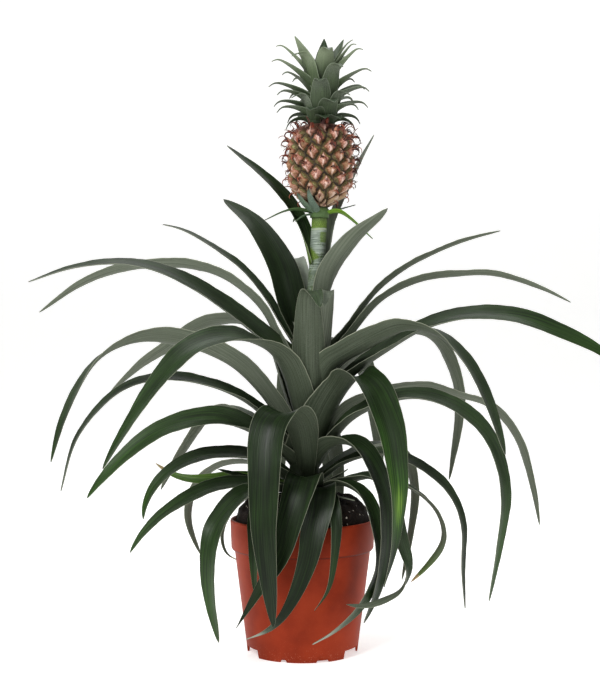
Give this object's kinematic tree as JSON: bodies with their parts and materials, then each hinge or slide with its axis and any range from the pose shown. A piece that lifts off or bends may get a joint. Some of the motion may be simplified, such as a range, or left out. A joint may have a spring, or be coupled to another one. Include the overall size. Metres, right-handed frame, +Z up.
{
  "type": "potted pineapple plant",
  "caption": "Pineapple plant in a tapered round nursery pot: a rosette of long arching channelled leaves, a tall stalk with small bracts, and a young fruit with its leafy crown.",
  "frame": {"origin": "on the ground, in the middle of the flat pad under the pot", "axes": "+Z up along the pot's axis, -Y towards the plant's front, +X to the plant's right as seen from the front"},
  "size_m": [0.5363, 0.3299, 0.5542],
  "materials": {
    "pot_plastic": "satin moulded terracotta-coloured plastic",
    "soil": "crumbly damp potting mix",
    "stem": "mealy grey-green skin",
    "bract": "smooth fresh leaf",
    "fruit_skin": "waxy salmon and green eyes with dried bract tips",
    "crown_leaf": "mealy silver-green leaf",
    "leaf": "glossy dark green above, mealy grey-green below"
  },
  "bodies": {
    "root": {"crown": "crown_leaf", "fruit": "fruit_skin", "fruit_bracts": "bract", "leaf_front_1": "leaf", "leaf_front_2": "leaf", "leaf_front_3": "leaf", "leaf_front_4": "leaf", "leaf_front_5": "leaf", "leaf_front_6": "leaf", "leaf_front_7": "leaf", "leaf_front_8": "leaf", "leaf_front_9": "leaf", "leaf_front_dry": "leaf", "leaf_left_1": "leaf", "leaf_left_10": "leaf", "leaf_left_11": "leaf", "leaf_left_12": "leaf", "leaf_left_13": "leaf", "leaf_left_14": "leaf", "leaf_left_15": "leaf", "leaf_left_16": "leaf", "leaf_left_17": "leaf", "leaf_left_2": "leaf", "leaf_left_3": "leaf", "leaf_left_4": "leaf", "leaf_left_5": "leaf", "leaf_left_6": "leaf", "leaf_left_7": "leaf", "leaf_left_8": "leaf", "leaf_left_9": "leaf", "leaf_rear_1": "leaf", "leaf_rear_2": "leaf", "leaf_rear_3": "leaf", "leaf_rear_4": "leaf", "leaf_rear_5": "leaf", "leaf_rear_6": "leaf", "leaf_rear_7": "leaf", "leaf_rear_8": "leaf", "leaf_right_1": "leaf", "leaf_right_10": "leaf", "leaf_right_11": "leaf", "leaf_right_2": "leaf", "leaf_right_3": "leaf", "leaf_right_4": "leaf", "leaf_right_5": "leaf", "leaf_right_6": "leaf", "leaf_right_7": "leaf", "leaf_right_8": "leaf", "leaf_right_9": "leaf", "leaf_stalk_back": "leaf", "leaf_stalk_fan": "leaf", "leaf_stalk_left": "leaf", "leaf_stalk_right": "leaf", "leaf_upright_front": "leaf", "leaf_upright_right": "leaf", "pot": "pot_plastic", "soil": "soil", "stem": "stem"}
  },
  "joints": []
}
